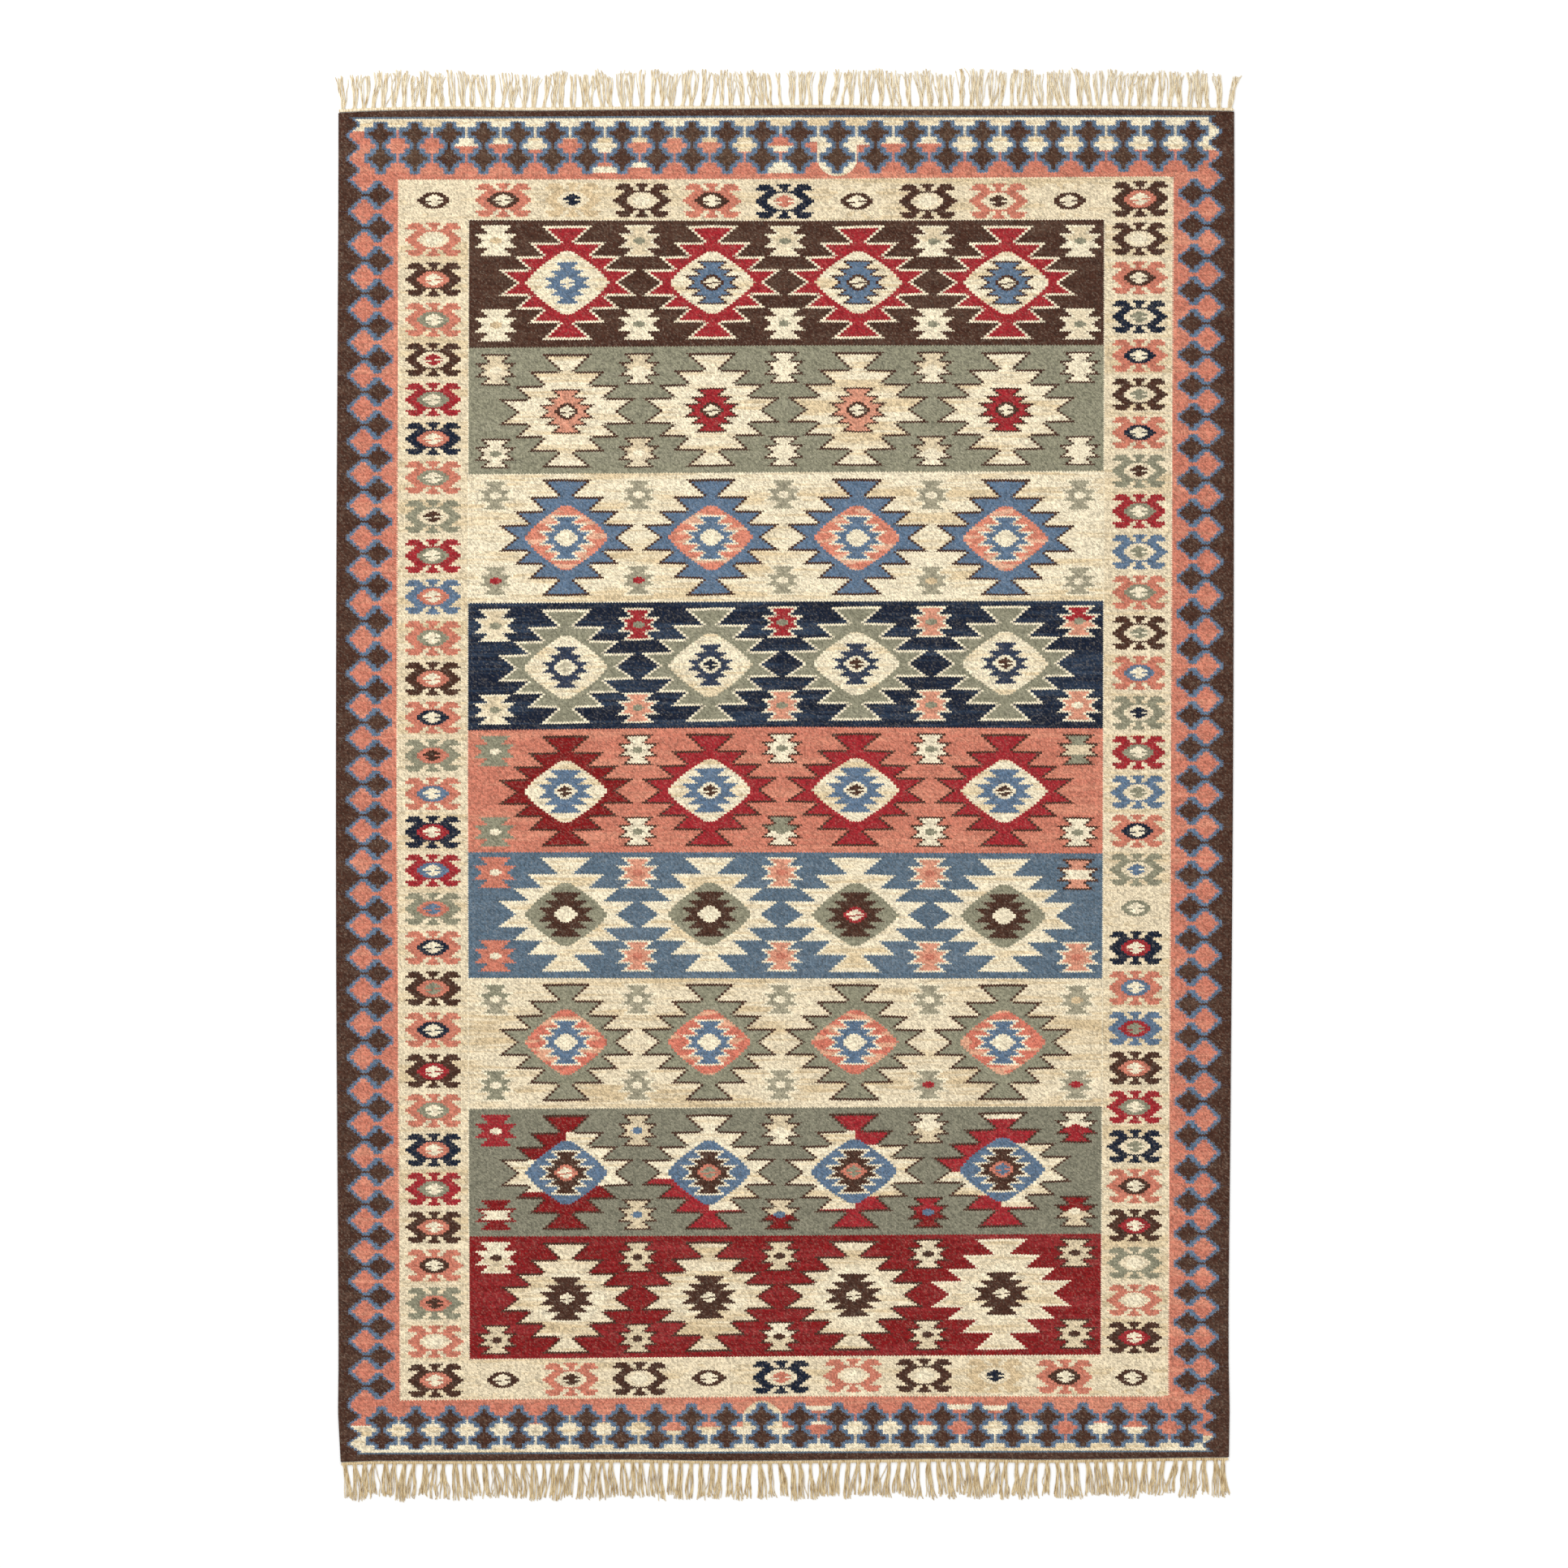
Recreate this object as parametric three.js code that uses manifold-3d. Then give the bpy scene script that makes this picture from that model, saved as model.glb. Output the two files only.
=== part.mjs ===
// A flat-woven kilim rug, lying flat, with a knotted fringe of warp ends along each short end.
// Millimetres. X runs across the rug, Y along it towards its far end, and Z up from the floor at Z = 0.
// The origin is under the middle of the whole rug, fringes included.
//
// The rug is woven in one piece, so the cloth is one solid. At each end the warps leave the cloth,
// are twined into a narrow cream heading and are gathered into tassels, and that is a second solid.

import * as THREE from "three";
import { mergeVertices } from "three/addons/utils/BufferGeometryUtils.js";
import Module from "manifold-3d";

const wasm = await Module();
wasm.setup();

// Driving dimensions

const CLOTH_WIDTH = 1200;
const CLOTH_LENGTH = 1812;
const CLOTH_THICKNESS = 3;
const EDGE_STEPS = 28; // straight steps along each side of the cloth
const CURVE_STEPS = 12; // points that a side's smooth line has for each row of its table

const HEADING_WIDTH = 4.6; // the twined strip that the tassels hang from
const HEADING_THICKNESS = 2.8;
const HEADING_GAP = 0.3; // between the cloth and the heading

const TASSELS = 90; // at each end
const TASSEL_LENGTH = 48; // root included
const TASSEL_LENGTH_SPREAD = 4;
const TASSEL_THICKNESS = 2.2;
const TASSEL_ROOT = 2; // how deep a tassel's root runs into the heading
const FORK_EVERY = 3; // of three tassels, two part into two locks and one stays whole
const FORK_START = 0.3; // where the locks part, as a share of the tassel's length
const ROOT_WIDTH = 5.6;
const LOCK_WIDTH = 3;
const LOCK_SPLAY = 2.6; // from the tassel's middle to a lock's middle at the tip
const WHOLE_TIP_WIDTH = 6.4;
const MIDDLE_ALONG = 0.55; // where a tassel bends, as a share of its length
const SHOULDER_ALONG = 0.95; // where its blunt tip starts
const BOW = 0.8; // how far it bends sideways
const ROOT_SHIFT = 0.12; // how far a root strays, as a share of the tassels' spacing
const LEAN = 7; // the furthest that a tassel's tip leans sideways
const LEAN_WAVE = 0.41; // the lean changes slowly from tassel to tassel: radians for each one
const LEAN_SCATTER = 0.5; // what each tassel's own lean adds to that wave
const TIP_CLEARANCE = 1; // between neighbouring tassels at their tips
const END_LEAN = 11; // the tassel at the far right corner splays out past the cloth

// How far each side of the cloth stands out from its straight line, from one end to the other.
// along is the share of the side, and out is in millimetres.
const LEFT_SIDE = [
  { along: 0, out: -1.5 },
  { along: 0.08, out: -1.2 },
  { along: 0.36, out: 1.4 },
  { along: 0.62, out: 1.6 },
  { along: 0.9, out: -1.6 },
  { along: 0.985, out: -0.8 },
  { along: 1, out: -4.5 },
];
const RIGHT_SIDE = [
  { along: 0, out: 3.4 },
  { along: 0.1, out: 3.6 },
  { along: 0.45, out: 2.4 },
  { along: 0.72, out: -1 },
  { along: 0.9, out: -4 },
  { along: 0.98, out: -2.2 },
  { along: 1, out: -3.5 },
];
const FAR_SIDE = [
  { along: 0, out: -4 },
  { along: 0.05, out: -1.2 },
  { along: 0.14, out: 0.2 },
  { along: 0.2, out: -1.4 },
  { along: 0.36, out: 0.4 },
  { along: 0.55, out: 2 },
  { along: 0.64, out: 0.2 },
  { along: 0.85, out: 1 },
  { along: 1, out: -2 },
];
const NEAR_SIDE = [
  { along: 0, out: 2.2 },
  { along: 0.03, out: 0.4 },
  { along: 0.18, out: 0.2 },
  { along: 0.32, out: -1.6 },
  { along: 0.45, out: 0.2 },
  { along: 0.68, out: -2.6 },
  { along: 0.8, out: -1.2 },
  { along: 0.95, out: -4 },
  { along: 1, out: -4.4 },
];

const WOOL = new THREE.MeshStandardMaterial({
  color: 0x9c7f66,
  roughness: 0.95,
  metalness: 0,
});
const COTTON = new THREE.MeshStandardMaterial({
  color: 0xdcc9a0,
  roughness: 0.9,
  metalness: 0,
});

// A repeatable number from -1 to 1 for the given piece and use.
function wobble(index, use) {
  const turned = Math.sin(index * 12.9898 + use * 78.233) * 43758.5453;
  return 2 * (turned - Math.floor(turned)) - 1;
}

// How far out a side stands at a share of its length, on a smooth line through its table.
function smoothSide(table) {
  const points = table.map((row) => new THREE.Vector2(row.along, row.out));
  const line = new THREE.SplineCurve(points).getPoints(table.length * CURVE_STEPS);
  return (along) => {
    const next = line.findIndex((point) => point.x >= along);
    if (next <= 0) return line[next < 0 ? line.length - 1 : 0].y;
    const from = line[next - 1];
    const to = line[next];
    return from.y + ((to.y - from.y) * (along - from.x)) / (to.x - from.x);
  };
}

const leftOut = smoothSide(LEFT_SIDE);
const rightOut = smoothSide(RIGHT_SIDE);
const farOut = smoothSide(FAR_SIDE);
const nearOut = smoothSide(NEAR_SIDE);

// The point of the cloth's plan at shares of its width, from the left, and of its length, from the far end.
function clothPoint(across, down) {
  const left = -CLOTH_WIDTH / 2 - leftOut(down);
  const right = CLOTH_WIDTH / 2 + rightOut(down);
  const far = CLOTH_LENGTH / 2 + farOut(across);
  const near = -CLOTH_LENGTH / 2 - nearOut(across);
  return new THREE.Vector2(
    left + (right - left) * across,
    far + (near - far) * down,
  );
}

// A flat piece of the given outline, standing on the floor.
function flatPiece(outline, thickness) {
  const shape = new THREE.Shape(outline);
  return new THREE.ExtrudeGeometry(shape, {
    depth: thickness,
    bevelEnabled: false,
  });
}

// A closed geometry as a solid that can be joined to others.
function toSolid(geometry) {
  const bare = geometry.clone();
  bare.deleteAttribute("normal");
  bare.deleteAttribute("uv");
  const merged = mergeVertices(bare, 1e-4);
  return new wasm.Manifold(
    new wasm.Mesh({
      numProp: 3,
      vertProperties: merged.attributes.position.array,
      triVerts: new Uint32Array(merged.index.array),
    }),
  );
}

// A solid as a geometry with flat faces.
function toGeometry(solid) {
  const mesh = solid.getMesh();
  const geometry = new THREE.BufferGeometry();
  const positions = new THREE.BufferAttribute(mesh.vertProperties, 3);
  geometry.setAttribute("position", positions);
  geometry.setIndex(new THREE.BufferAttribute(mesh.triVerts, 1));
  const faceted = geometry.toNonIndexed();
  faceted.computeVertexNormals();
  return faceted;
}

// A named mesh of the rug.
function piece(name, geometry, material) {
  const mesh = new THREE.Mesh(geometry, material);
  mesh.name = name;
  return mesh;
}

// The cloth

// The woven part, one slab with the uneven outline of its four sides.
function clothGeometry() {
  const shares = Array.from({ length: EDGE_STEPS }, (_, i) => i / EDGE_STEPS);
  const outline = [
    ...shares.map((s) => clothPoint(0, s)),
    ...shares.map((s) => clothPoint(s, 1)),
    ...shares.map((s) => clothPoint(1, 1 - s)),
    ...shares.map((s) => clothPoint(1 - s, 0)),
  ];
  return flatPiece(outline, CLOTH_THICKNESS);
}

// The fringes

// The cloth's end edge at a share of the width: down is 0 at the far end and 1 at the near one.
// away moves the point off the cloth, along the rug.
function endPoint(across, down, away) {
  const edge = clothPoint(across, down);
  return new THREE.Vector2(edge.x, edge.y + (down ? -away : away));
}

// The twined strip along one end, which follows the cloth's edge.
function headingGeometry(down) {
  const shares = Array.from({ length: EDGE_STEPS + 1 }, (_, i) => i / EDGE_STEPS);
  const inner = shares.map((s) => endPoint(s, down, HEADING_GAP));
  const outer = shares.map((s) => endPoint(s, down, HEADING_GAP + HEADING_WIDTH));
  return flatPiece([...inner, ...outer.reverse()], HEADING_THICKNESS);
}

// A point beside another one, across the rug.
function beside(point, across) {
  return new THREE.Vector2(point.x + across, point.y);
}

// A tassel in plan that stays in one lock, from its root to a blunt tip. bow bends it sideways.
function wholeOutline(root, tip, bow) {
  const middle = beside(root.clone().lerp(tip, MIDDLE_ALONG), bow);
  const shoulder = root.clone().lerp(tip, SHOULDER_ALONG);
  const middleWidth = (ROOT_WIDTH + WHOLE_TIP_WIDTH) / 2;
  return [
    beside(root, -ROOT_WIDTH / 2),
    beside(middle, -middleWidth / 2),
    beside(shoulder, -WHOLE_TIP_WIDTH / 2),
    tip,
    beside(shoulder, WHOLE_TIP_WIDTH / 2),
    beside(middle, middleWidth / 2),
    beside(root, ROOT_WIDTH / 2),
  ];
}

// A tassel in plan that parts into two locks, with the notch between them.
function forkedOutline(root, tip, bow) {
  const notch = beside(root.clone().lerp(tip, FORK_START), bow / 2);
  const middle = beside(root.clone().lerp(tip, MIDDLE_ALONG), bow);
  const shoulder = root.clone().lerp(tip, SHOULDER_ALONG);
  const outerMiddle = LOCK_SPLAY / 2 + LOCK_WIDTH;
  const outerTip = LOCK_SPLAY + LOCK_WIDTH / 2;
  const innerTip = LOCK_SPLAY - LOCK_WIDTH / 2;
  return [
    beside(root, -ROOT_WIDTH / 2),
    beside(middle, -outerMiddle),
    beside(shoulder, -outerTip),
    beside(tip, -LOCK_SPLAY),
    beside(shoulder, -innerTip),
    notch,
    beside(shoulder, innerTip),
    beside(tip, LOCK_SPLAY),
    beside(shoulder, outerTip),
    beside(middle, outerMiddle),
    beside(root, ROOT_WIDTH / 2),
  ];
}

// The tassels' roots and tips, worked out from left to right, so that no two meet.
function tasselLines(down) {
  const lines = [];
  let reached = -Infinity;
  for (let i = 0; i < TASSELS; i++) {
    const share = (i + 0.5 + ROOT_SHIFT * wobble(i, 1 + down)) / TASSELS;
    const forked = i % FORK_EVERY !== 0;
    const halfTip = forked ? LOCK_SPLAY + LOCK_WIDTH / 2 : WHOLE_TIP_WIDTH / 2;
    const length = TASSEL_LENGTH + TASSEL_LENGTH_SPREAD * wobble(i, 3 + down);
    const root = endPoint(share, down, HEADING_GAP + HEADING_WIDTH - TASSEL_ROOT);
    const drift = Math.sin(i * LEAN_WAVE + down * 2) + LEAN_SCATTER * wobble(i, 5 + down);
    const corner = !down && i === TASSELS - 1;
    const lean = corner ? END_LEAN : (LEAN * drift) / (1 + LEAN_SCATTER);
    const tipX = Math.max(root.x + lean, reached + TIP_CLEARANCE + halfTip);
    const tip = new THREE.Vector2(tipX, root.y + (down ? -length : length));
    reached = tip.x + halfTip;
    lines.push({ root, tip, forked, bow: BOW * wobble(i, 7 + down) });
  }
  return lines;
}

// One tassel as a solid lying on the floor.
function tasselSolid({ root, tip, forked, bow }) {
  const outline = forked ? forkedOutline(root, tip, bow) : wholeOutline(root, tip, bow);
  return toSolid(flatPiece(outline, TASSEL_THICKNESS));
}

// A whole end's fringe: the tassels' roots are joined to the heading.
function fringeGeometry(down) {
  const heading = toSolid(headingGeometry(down));
  const tassels = tasselLines(down).map(tasselSolid);
  return toGeometry(wasm.Manifold.union([heading, ...tassels]));
}

// The whole rug

const rug = new THREE.Group();
rug.add(
  piece("kilim_cloth", clothGeometry(), WOOL),
  piece("fringe_far", fringeGeometry(0), COTTON),
  piece("fringe_near", fringeGeometry(1), COTTON),
);

// The origin goes under the middle of the whole rug.
const middle = new THREE.Box3().setFromObject(rug).getCenter(new THREE.Vector3());
rug.position.set(-middle.x, -middle.y, 0);

export default rug;
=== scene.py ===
# The looks of the kilim rug: its woven cloth with every figure, and its two knotted fringes.
# Metres, with X across the rug, Y towards its far end and Z up. A weaver's measures are in millimetres.
# "Down" runs from the far end of the cloth to the near one, and "across" from its left side.

import math

import bpy
import numpy as np
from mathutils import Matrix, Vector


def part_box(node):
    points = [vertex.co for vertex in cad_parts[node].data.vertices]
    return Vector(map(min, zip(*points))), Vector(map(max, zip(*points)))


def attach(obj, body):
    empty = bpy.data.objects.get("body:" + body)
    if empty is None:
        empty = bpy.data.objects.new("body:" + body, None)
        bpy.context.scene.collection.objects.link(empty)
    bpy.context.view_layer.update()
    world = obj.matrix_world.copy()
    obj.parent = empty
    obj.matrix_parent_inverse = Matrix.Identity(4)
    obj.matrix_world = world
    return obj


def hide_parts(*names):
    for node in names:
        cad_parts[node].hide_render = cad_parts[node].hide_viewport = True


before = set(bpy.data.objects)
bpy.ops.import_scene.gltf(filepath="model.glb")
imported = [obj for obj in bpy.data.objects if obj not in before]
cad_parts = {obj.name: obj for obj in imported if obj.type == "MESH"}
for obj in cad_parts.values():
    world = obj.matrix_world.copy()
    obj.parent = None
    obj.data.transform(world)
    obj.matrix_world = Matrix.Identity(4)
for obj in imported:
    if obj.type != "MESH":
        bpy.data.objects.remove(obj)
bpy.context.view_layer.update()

MM = 0.001
CLOTH_WIDTH = 1200
CLOTH_LENGTH = 1812

# The weave
WARP_PAIR = 3.92  # across two warps, which is a tooth of a level edge and a step of a slanting one
WARP = WARP_PAIR / 2
PICK = 1.6  # between rows of beads
TOOTH = 0.85  # how far a tooth reaches from the middle of a level edge
SIDE_TOOTH = 0.9  # the same along an upright edge, where two yarns meet round one warp
SIDE_PITCH = 2.5  # from one of those teeth to the next
STEP_EDGE = 0.9  # how much of a tooth is left out along a slanting edge, so that its steps are clean

# Main lines of the layout. Level lines run across the rug, and each has its place down the cloth
# near the left side, in the middle and near the right side.
LEVEL_AT = (38, 600, 1160)
LEVEL_LINES = (
    (10.6, 8.2, 8),
    (84.8, 84.2, 81),
    (94.6, 93.6, 89.9),
    (146.7, 148.1, 145.8),
    (319.4, 315.2, 314.4),
    (488.9, 485.2, 482.8),
    (661.4, 658.6, 657.6),
    (833, 827, 829.6),
    (995, 995.2, 997),
    (1163.6, 1164.4, 1164.4),
    (1340.1, 1337.6, 1335.6),
    (1510.8, 1509.3, 1506.2),
    (1677.9, 1673, 1670.4),
    (1730.6, 1724.6, 1724.8),
    (1743.6, 1738.2, 1738.4),
    (1803, 1801.3, 1799.9),
)
# Upright lines run down the rug: the left border's two edges, the first, middle and last column of
# stars in the field, and the right border's two edges.
UPRIGHT_AT = (114, 898, 1704)
UPRIGHT_LINES = (
    (83.3, 81.2, 85.5),
    (176.2, 174.6, 177),
    (212.9, 210.7, 214),
    (600.7, 596.4, 593.1),
    (997.3, 994, 988.6),
    (1030.2, 1028.6, 1025.6),
    (1121, 1117.6, 1114.6),
)

# Yarns, as they look in daylight from 0 to 255, each with a letter for the pattern strings below
YARNS = {
    "k": (70, 41, 29),
    "c": (243, 229, 198),
    "a": (236, 220, 188),
    "e": (213, 188, 148),
    "s": (202, 121, 99),
    "g": (141, 138, 115),
    "d": (130, 127, 108),
    "r": (158, 34, 42),
    "q": (128, 14, 18),
    "n": (14, 26, 46),
    "b": (93, 115, 139),
    "l": (88, 107, 123),
    "o": (234, 217, 184),
    "t": (222, 203, 168),
    "m": (217, 149, 122),
    "h": (161, 154, 130),
    "j": (44, 55, 76),
    "v": (192, 182, 155),
}

# The other shade that some dyed yarns go over to in streaks, and how far
STREAKED = {
    "c": ((219, 193, 149), 0.8),
    "a": ((208, 182, 139), 0.8),
    "o": ((212, 187, 144), 0.7),
    "n": ((54, 72, 94), 0.6),
    "s": ((222, 150, 122), 0.6),
    "k": ((94, 70, 56), 0.4),
    "q": ((158, 52, 54), 0.5),
    "l": ((108, 124, 138), 0.5),
    "g": ((156, 152, 130), 0.4),
}


STUDIO_LIGHT = 1.25  # how much brighter than its base colour a matt surface looks in this studio


def daylight(red, green, blue):
    """The base colour that looks like this one, from 0 to 255, under the studio's light."""
    parts = []
    for part in (red, green, blue):
        part /= 255
        linear = part / 12.92 if part <= 0.04045 else ((part + 0.055) / 1.055) ** 2.4
        parts.append(linear / STUDIO_LIGHT)
    return tuple(parts)


def yarn(letter):
    """The base colour of a yarn."""
    return daylight(*YARNS[letter])


# Node trees


class Value:
    """A socket in a node tree. Python's operators on it add Math nodes to the tree."""

    def __init__(self, nodes, socket):
        self.nodes = nodes
        self.socket = socket

    def output(self, name):
        """Another output of the node that this value comes from."""
        found = find_socket(self.socket.node.outputs, name)
        return Value(self.nodes, found)

    def maths(self, operation, *others):
        values = dict(enumerate((self, *others)))
        return self.nodes.node("ShaderNodeMath", {"operation": operation}, values)

    def __add__(self, other):
        return self.maths("ADD", other)

    __radd__ = __add__

    def __mul__(self, other):
        return self.maths("MULTIPLY", other)

    __rmul__ = __mul__

    def __sub__(self, other):
        return self.maths("SUBTRACT", other)

    def __rsub__(self, other):
        return (self * -1) + other

    def __truediv__(self, other):
        return self.maths("DIVIDE", other)

    def __lt__(self, other):
        return self.maths("LESS_THAN", other)

    def __gt__(self, other):
        return self.maths("GREATER_THAN", other)

    def __or__(self, other):
        return self.maths("MAXIMUM", other)

    def __abs__(self):
        return self.maths("ABSOLUTE")

    def floor(self):
        return self.maths("FLOOR")

    def least(self, other):
        return self.maths("MINIMUM", other)

    def remainder(self, step):
        return self.maths("FLOORED_MODULO", step)

    def sine(self):
        return self.maths("SINE")


def find_socket(sockets, name):
    """A socket in use, by its name or by its place among those in use."""
    used = [socket for socket in sockets if socket.enabled]
    if isinstance(name, int):
        return used[name]
    return next(socket for socket in used if socket.name == name)


class Nodes:
    """A node tree that is being built."""

    def __init__(self, tree):
        self.tree = tree

    def node(self, kind, settings=None, values=None):
        """Adds a node: its settings are made first, then its sockets get values or links."""
        node = self.tree.nodes.new(kind)
        for name, setting in (settings or {}).items():
            if name == "stops":
                set_stops(node.color_ramp, setting)
            elif name == "points":
                set_points(node.mapping, setting)
            else:
                setattr(node, name, setting)
        for name, value in (values or {}).items():
            self.fill(find_socket(node.inputs, name), value)
        used = [socket for socket in node.outputs if socket.enabled]
        return Value(self, used[0]) if used else None

    def fill(self, socket, value):
        """Links a value to a socket, or sets the socket where it is a number or colour."""
        if isinstance(value, Value):
            self.tree.links.new(value.socket, socket)
        elif isinstance(value, tuple) and socket.type == "RGBA":
            socket.default_value = (*value, 1)
        else:
            socket.default_value = value

    def mix(self, mask, below, above):
        """The colour below, with the one above laid over it where the mask is 1."""
        settings = {"data_type": "RGBA"}
        return self.node("ShaderNodeMix", settings, {"Factor": mask, "A": below, "B": above})

    def shade(self, colour, brightness):
        """A colour made lighter or darker by a value."""
        values = {0: colour, "Scale": brightness}
        return self.node("ShaderNodeVectorMath", {"operation": "SCALE"}, values)

    def join(self, x, y, z=0.0):
        """Three values as a vector."""
        return self.node("ShaderNodeCombineXYZ", {}, {"X": x, "Y": y, "Z": z})

    def noise(self, place, detail=2.0):
        """Smooth noise from 0 to 1 with one lump for each unit of the place."""
        values = {"Vector": place, "Scale": 1.0, "Detail": detail}
        return self.node("ShaderNodeTexNoise", {"noise_dimensions": "3D"}, values)

    def chance(self, x, y):
        """A random number from 0 to 1 for each pair of whole numbers."""
        place = self.join(x, y)
        return self.node("ShaderNodeTexWhiteNoise", {"noise_dimensions": "2D"}, {"Vector": place})


def set_stops(ramp, stops):
    """Gives a ramp its stops, which are places and colours, each colour held until the next."""
    ramp.interpolation = "CONSTANT"
    while len(ramp.elements) < len(stops):
        ramp.elements.new(1)
    for element, (place, colour) in zip(ramp.elements, stops):
        element.position = place
        element.color = (*colour, 1)


def set_points(mapping, points):
    """Gives a curve straight lines through its points."""
    line = mapping.curves[0].points
    while len(line) < len(points):
        line.new(1, 1)
    for point, (x, y) in zip(line, points):
        point.location = (x, y)
        point.handle_type = "VECTOR"
    mapping.extend = "HORIZONTAL"
    mapping.update()


CURVE_SPAN = 100  # a profile's Float Curve has 0 to 1 for this many millimetres
BLUNT = 1.6  # how far from a figure's middle its side points are cut off square
JUMP = 0.05  # two points this close make an upright step in a profile
STRAY_ACROSS = 70  # size of the patches in which the weaver's hand strays one way
STRAY_DOWN = 45
STREAK_LENGTH = 70  # size of the streaks in which a yarn goes over to its other shade
STREAK_HEIGHT = 4
LOT_LENGTH = 300  # size of the parts of the cloth that have more of them
LOT_HEIGHT = 20


class Pattern(Nodes):
    """The node tree of one part of the weave, with the places that its figures are drawn from."""

    def __init__(self, name):
        self.material = bpy.data.materials.new(name)
        self.material.use_nodes = True
        super().__init__(self.material.node_tree)
        self.shader = self.tree.nodes["Principled BSDF"]
        places = self.node("ShaderNodeTexCoord").output("Object")
        place = self.split(places)
        self.x = place[0] / MM
        self.y = place[1] / MM
        uv = self.split(self.node("ShaderNodeUVMap", {"uv_map": "figure"}))
        self.first, self.second = uv[0], uv[1]
        self.warp = (self.x / WARP_PAIR).maths("FRACT") - 0.5
        self.tooth = (abs(self.warp) * 4 - 1) * TOOTH
        self.narrow = ((self.x / WARP).maths("FRACT") - 0.5) * WARP
        self.snap = self.narrow * self.x.maths("SIGN")
        self.side_tooth = (abs((self.y / SIDE_PITCH).maths("FRACT") - 0.5) * 4 - 1) * SIDE_TOOTH

        streak = self.noise(self.join(self.x / STREAK_LENGTH, self.y / STREAK_HEIGHT, 3.0), 3.0)
        lot = self.noise(self.join(self.x / LOT_LENGTH, self.y / LOT_HEIGHT, 5.0), 1.0)
        self.streak = ((streak + lot - 0.95) * 4 | 0).least(1)

    def lay(self, colour, figures, out, along):
        """The colour with figures laid over it in turn, each a profile, its slope and its yarn."""
        for points, slope, above in figures:
            colour = self.mix(out < self.width(points, along, slope), colour, above)
        return colour

    def finish(self, colour, bump, settings):
        """The finished material, with its colour, its bumps and its shader's plain settings."""
        self.fill(self.shader.inputs["Base Color"], colour)
        self.fill(self.shader.inputs["Normal"], self.node("ShaderNodeBump", {}, bump))
        for name, value in settings.items():
            self.shader.inputs[name].default_value = value
        return self.material

    def dyed(self, letter):
        """A yarn, which may go over to its other shade in streaks along the weft."""
        if letter not in STREAKED:
            return yarn(letter)
        shade, reach = STREAKED[letter]
        return self.mix(self.streak * reach, yarn(letter), daylight(*shade))

    def split(self, vector):
        parts = self.node("ShaderNodeSeparateXYZ", {}, {0: vector})
        return [parts, parts.output("Y"), parts.output("Z")]

    def stray(self, seed):
        """How far the weaver's hand strays here, from about -1 to 1."""
        place = self.join(self.x / STRAY_ACROSS, self.y / STRAY_DOWN, seed)
        return (self.noise(place, 1.0) - 0.5) * 3

    def profile(self, points, along):
        """The half-width in millimetres of a figure, for a distance along it from its middle."""
        points = [(0, points[0][1]), *points, (CURVE_SPAN, points[-1][1])]
        scaled = [(x / CURVE_SPAN, y / CURVE_SPAN) for x, y in points]
        values = {"Value": along / CURVE_SPAN}
        return self.node("ShaderNodeFloatCurve", {"points": scaled}, values) * CURVE_SPAN

    def width(self, points, along, slope=0.0):
        """A figure's half-width, with the teeth taken out of edges that slant this much."""
        width = self.profile(points, abs(along))
        slanting = (width > 2) * (abs(along) > BLUNT)
        return width - self.tooth * along.maths("SIGN") * slanting * (slope * STEP_EDGE)

    def by_number(self, number, letters):
        """The yarn that a string of letters gives for each whole number."""
        stops = [(i / len(letters), yarn(letter)) for i, letter in enumerate(letters)]
        values = {0: (number + 0.5) / len(letters)}
        return self.node("ShaderNodeValToRGB", {"stops": stops}, values)

    def amount(self, number, amounts, reach):
        """The amount that a list gives for each whole number, all of them within the reach."""
        greys = [(each / reach + 1) / 2 for each in amounts]
        stops = [(i / len(greys), (grey,) * 3) for i, grey in enumerate(greys)]
        values = {0: (number + 0.5) / len(greys)}
        ramp = self.node("ShaderNodeValToRGB", {"stops": stops}, values)
        return (ramp * 2 - 1) * reach


def steps(*pairs):
    """A stepped profile: each pair is a distance along and the half-width up to there."""
    points = []
    start = 0
    for end, width in pairs:
        points += [(start + JUMP, width), (end, width)]
        start = end
    points[0] = (0, points[0][1])
    return [*points, (start + JUMP, 0)]


def inset(profile, across, along):
    """The profile of what is left inside an outline this thick across and along the figure."""
    places, widths = zip(*profile)
    x = np.arange(0, CURVE_SPAN, 0.25)

    def width(at):
        return np.interp(at, places, widths)

    inner = np.minimum.reduce([width(x) - across, width(x + along), width(abs(x - along))])
    inner = np.clip(inner, 0, None)
    bends = abs(np.diff(inner, 2)) > 0.02
    kept = np.r_[True, bends, True]
    return [(float(a), float(b)) for a, b in zip(x[kept], inner[kept])]


# The field's nine bands

BAND_HEIGHT = 171
COLUMN = 97.6  # from a column of stars to the next column of medallions
FIELD_LEFT = -0.375  # the field's sides, counted in columns
FIELD_RIGHT = 8.335
STAR_AT = 56.6  # the small stars' middles, up and down from the band's middle
MEDALLION_LINE = (3.9, 2.9)  # how thick a medallion's line is, across and along the figure
STAR_LINE = (3.5, 2.3)

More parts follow.
